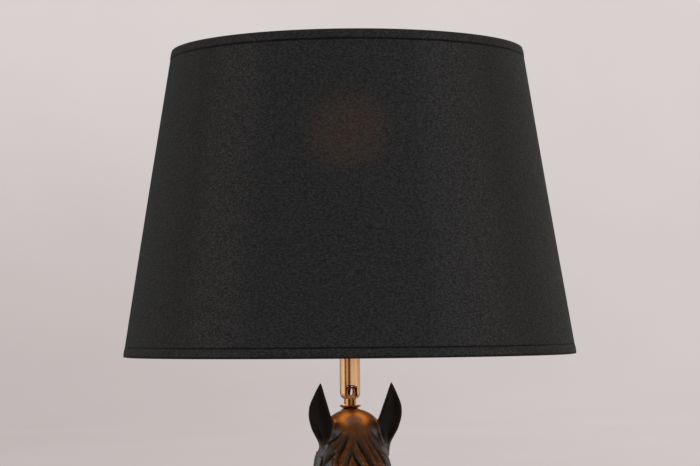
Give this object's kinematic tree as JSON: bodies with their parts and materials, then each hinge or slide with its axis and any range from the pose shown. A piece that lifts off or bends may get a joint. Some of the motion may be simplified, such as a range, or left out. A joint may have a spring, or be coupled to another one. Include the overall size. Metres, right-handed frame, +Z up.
{
  "type": "table lamp",
  "caption": "Table lamp with a cast horse's head and neck on a round plinth, a tilting copper-coloured stem and a tapered black fabric drum shade.",
  "frame": {"origin": "on the table, under the middle of the stem", "axes": "+Z up along the stem; the horse looks along -Y; +X is to the right seen from the front"},
  "size_m": [0.3738, 0.4161, 0.6161],
  "materials": {
    "resin": "satin bronze-black cast resin",
    "copper": "polished copper plate",
    "brass": "plain brass",
    "steel": "zinc plated",
    "iron": "black painted",
    "board": "hardboard",
    "felt": "black felt",
    "black_plastic": "moulded, fine texture",
    "white_plastic": "moulded",
    "white_metal": "white powder coat",
    "fibre": "pressed fibre",
    "cord": "black sheath",
    "aluminium": "bright",
    "opal": "opal white",
    "shade_cloth": "black woven cloth",
    "lining": "white laminated sheet"
  },
  "bodies": {
    "base": {"plinth": "resin", "base_weight": "iron", "bottom_cover": "board", "cover_screws": "steel", "felt_pad": "felt", "cord_bushing": "black_plastic", "tie_rod": "steel", "rod_washer": "steel", "rod_nut": "brass", "horse_bust": "resin", "swivel_cup": "copper", "swivel_tongue": "copper", "cord_lamp_side": "cord", "cord_plug_side": "cord", "plug_body": "black_plastic", "plug_blades": "brass", "switch_bottom": "black_plastic", "switch_top": "black_plastic", "switch_screws": "steel", "rocker_pin": "steel"},
    "rocker": {"switch_rocker": "black_plastic"},
    "stem": {"stem_tube": "copper", "fork_plug": "copper", "pivot_screws": "copper", "friction_washers": "fibre", "tube_bush": "brass", "nipple": "steel", "harp_saddle": "copper", "ring_nut": "copper", "holder_cap": "copper", "holder_shell": "copper", "holder_insulator": "fibre", "holder_block": "black_plastic", "screw_shell": "brass", "centre_contact": "brass", "terminal_screws": "brass", "stem_wire": "cord", "harp_wire": "copper", "harp_post": "copper"},
    "left_ferrule": {"ferrule_left": "copper"},
    "right_ferrule": {"ferrule_right": "copper"},
    "bulb": {"bulb_contact": "brass", "bulb_cap": "aluminium", "bulb_housing": "white_plastic", "bulb_globe": "opal"},
    "shade": {"shade_fabric": "shade_cloth", "shade_lining": "lining", "top_ring": "white_metal", "bottom_ring": "white_metal", "spider": "copper", "top_hem": "shade_cloth", "bottom_hem": "shade_cloth"},
    "knob": {"finial": "copper"}
  },
  "joints": [
    {"name": "stem_tilt", "type": "hinge", "parent": "base", "child": "stem", "pos_m": [0, 0, 0.3427], "axis": [1, 0, 0], "range_deg": [-45, 45]},
    {"name": "shade_turn", "type": "hinge", "parent": "stem", "child": "shade", "pos_m": [0, 0, 0.5955], "axis": [0, 0, 1], "continuous": true},
    {"name": "finial_turn", "type": "hinge", "parent": "stem", "child": "knob", "pos_m": [0, 0, 0.5976], "axis": [0, 0, 1], "continuous": true},
    {"name": "bulb_turn", "type": "hinge", "parent": "stem", "child": "bulb", "pos_m": [0, 0, 0.462], "axis": [0, 0, 1], "continuous": true},
    {"name": "left_ferrule_lift", "type": "slide", "parent": "stem", "child": "left_ferrule", "axis": [0, 0, 1], "range_m": [0, 0.012]},
    {"name": "right_ferrule_lift", "type": "slide", "parent": "stem", "child": "right_ferrule", "axis": [0, 0, 1], "range_m": [0, 0.012]},
    {"name": "switch_rock", "type": "hinge", "parent": "base", "child": "rocker", "pos_m": [0.076, 0.115, 0.0115], "axis": [0, 1, 0], "range_deg": [-16, 0]}
  ]
}
